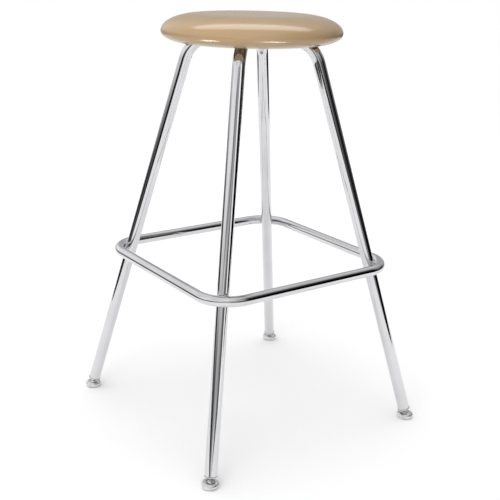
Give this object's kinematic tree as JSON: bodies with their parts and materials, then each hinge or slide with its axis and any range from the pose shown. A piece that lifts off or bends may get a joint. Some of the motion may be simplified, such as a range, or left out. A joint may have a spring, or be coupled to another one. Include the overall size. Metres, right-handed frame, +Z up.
{
  "type": "four-legged work stool",
  "caption": "Tall stool with a round moulded seat on bent, splayed tube legs tied by a square foot ring, standing on ball-jointed swivel glides.",
  "frame": {"origin": "on the floor, below the middle of the seat", "axes": "+Z up; X and Y along the sides of the foot ring, with the legs on the diagonals; -Y is the side called front"},
  "size_m": [0.4928, 0.4928, 0.774],
  "materials": {
    "seat_plastic": "satin moulded tan plastic",
    "chrome_tube": "polished chrome plate on steel tube",
    "plate_steel": "dull chrome plate on flat steel",
    "zinc_hardware": "bright zinc plate",
    "nickel_glide": "satin nickel plate on pressed steel",
    "nylon": "natural nylon",
    "rubber": "black rubber"
  },
  "bodies": {
    "frame": {"seat_shell": "seat_plastic", "seat_plate": "plate_steel", "foot_ring": "chrome_tube", "leg_front_left": "chrome_tube", "leg_front_right": "chrome_tube", "leg_rear_right": "chrome_tube", "leg_rear_left": "chrome_tube", "seat_screw_front": "zinc_hardware", "seat_screw_rear": "zinc_hardware", "seat_screw_left": "zinc_hardware", "seat_screw_right": "zinc_hardware", "seat_washer_front": "zinc_hardware", "seat_washer_rear": "zinc_hardware", "seat_washer_left": "zinc_hardware", "seat_washer_right": "zinc_hardware", "glide_collar_front_left": "zinc_hardware", "glide_collar_front_right": "zinc_hardware", "glide_collar_rear_right": "zinc_hardware", "glide_collar_rear_left": "zinc_hardware", "glide_stud_front_left": "zinc_hardware", "glide_stud_front_right": "zinc_hardware", "glide_stud_rear_right": "zinc_hardware", "glide_stud_rear_left": "zinc_hardware"},
    "socket_front_left": {"glide_socket_front_left": "nylon"},
    "cushion_front_left": {"glide_cushion_front_left": "rubber"},
    "base_front_left": {"glide_base_front_left": "nickel_glide", "glide_cap_front_left": "nickel_glide"},
    "socket_front_right": {"glide_socket_front_right": "nylon"},
    "cushion_front_right": {"glide_cushion_front_right": "rubber"},
    "base_front_right": {"glide_base_front_right": "nickel_glide", "glide_cap_front_right": "nickel_glide"},
    "socket_rear_right": {"glide_socket_rear_right": "nylon"},
    "cushion_rear_right": {"glide_cushion_rear_right": "rubber"},
    "base_rear_right": {"glide_base_rear_right": "nickel_glide", "glide_cap_rear_right": "nickel_glide"},
    "socket_rear_left": {"glide_socket_rear_left": "nylon"},
    "cushion_rear_left": {"glide_cushion_rear_left": "rubber"},
    "base_rear_left": {"glide_base_rear_left": "nickel_glide", "glide_cap_rear_left": "nickel_glide"}
  },
  "joints": [
    {"name": "glide_lean_front_left", "type": "hinge", "parent": "frame", "child": "socket_front_left", "pos_m": [-0.23094, -0.23094, 0.0075], "axis": [0.7071, -0.7071, 0], "range_deg": [-30, 10]},
    {"name": "glide_roll_front_left", "type": "hinge", "parent": "socket_front_left", "child": "cushion_front_left", "pos_m": [-0.23094, -0.23094, 0.0075], "axis": [-0.7071, -0.7071, 0], "range_deg": [-15, 15]},
    {"name": "glide_swivel_front_left", "type": "hinge", "parent": "cushion_front_left", "child": "base_front_left", "pos_m": [-0.23094, -0.23094, 0.0075], "axis": [0, 0, 1], "continuous": true},
    {"name": "glide_lean_front_right", "type": "hinge", "parent": "frame", "child": "socket_front_right", "pos_m": [0.23094, -0.23094, 0.0075], "axis": [0.7071, 0.7071, 0], "range_deg": [-30, 10]},
    {"name": "glide_roll_front_right", "type": "hinge", "parent": "socket_front_right", "child": "cushion_front_right", "pos_m": [0.23094, -0.23094, 0.0075], "axis": [0.7071, -0.7071, 0], "range_deg": [-15, 15]},
    {"name": "glide_swivel_front_right", "type": "hinge", "parent": "cushion_front_right", "child": "base_front_right", "pos_m": [0.23094, -0.23094, 0.0075], "axis": [0, 0, 1], "continuous": true},
    {"name": "glide_lean_rear_right", "type": "hinge", "parent": "frame", "child": "socket_rear_right", "pos_m": [0.23094, 0.23094, 0.0075], "axis": [-0.7071, 0.7071, 0], "range_deg": [-30, 10]},
    {"name": "glide_roll_rear_right", "type": "hinge", "parent": "socket_rear_right", "child": "cushion_rear_right", "pos_m": [0.23094, 0.23094, 0.0075], "axis": [0.7071, 0.7071, 0], "range_deg": [-15, 15]},
    {"name": "glide_swivel_rear_right", "type": "hinge", "parent": "cushion_rear_right", "child": "base_rear_right", "pos_m": [0.23094, 0.23094, 0.0075], "axis": [0, 0, 1], "continuous": true},
    {"name": "glide_lean_rear_left", "type": "hinge", "parent": "frame", "child": "socket_rear_left", "pos_m": [-0.23094, 0.23094, 0.0075], "axis": [-0.7071, -0.7071, 0], "range_deg": [-30, 10]},
    {"name": "glide_roll_rear_left", "type": "hinge", "parent": "socket_rear_left", "child": "cushion_rear_left", "pos_m": [-0.23094, 0.23094, 0.0075], "axis": [-0.7071, 0.7071, 0], "range_deg": [-15, 15]},
    {"name": "glide_swivel_rear_left", "type": "hinge", "parent": "cushion_rear_left", "child": "base_rear_left", "pos_m": [-0.23094, 0.23094, 0.0075], "axis": [0, 0, 1], "continuous": true}
  ]
}
